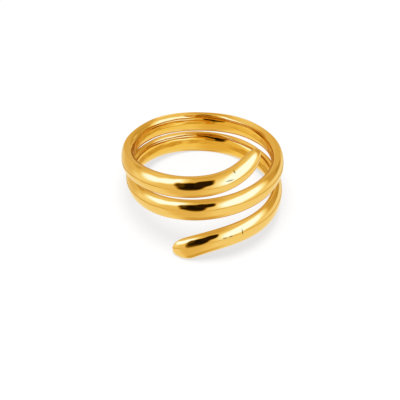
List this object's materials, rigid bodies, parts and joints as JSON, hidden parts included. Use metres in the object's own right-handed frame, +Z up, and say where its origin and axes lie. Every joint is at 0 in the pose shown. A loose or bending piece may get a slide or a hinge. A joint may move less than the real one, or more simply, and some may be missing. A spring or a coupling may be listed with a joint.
{
  "type": "triple loop ring",
  "caption": "Open coiled finger ring: a polished domed band winds round the finger like a spring, from a slim rounded tip to a blunt rounded end.",
  "frame": {"origin": "middle of the resting ring's bounding box, on the table that it stands on", "axes": "+Z up from the table, +X to the right of the picture and +Y away from the viewer. The finger hole's axis leans 17.2 degrees back and 4.2 degrees left of +Z, as the coil comes to rest"},
  "size_m": [0.0204, 0.0216, 0.0134],
  "materials": {
    "polished_gold": "polished gold plate"
  },
  "bodies": {
    "root": {"coil_band": "polished_gold"}
  },
  "joints": []
}
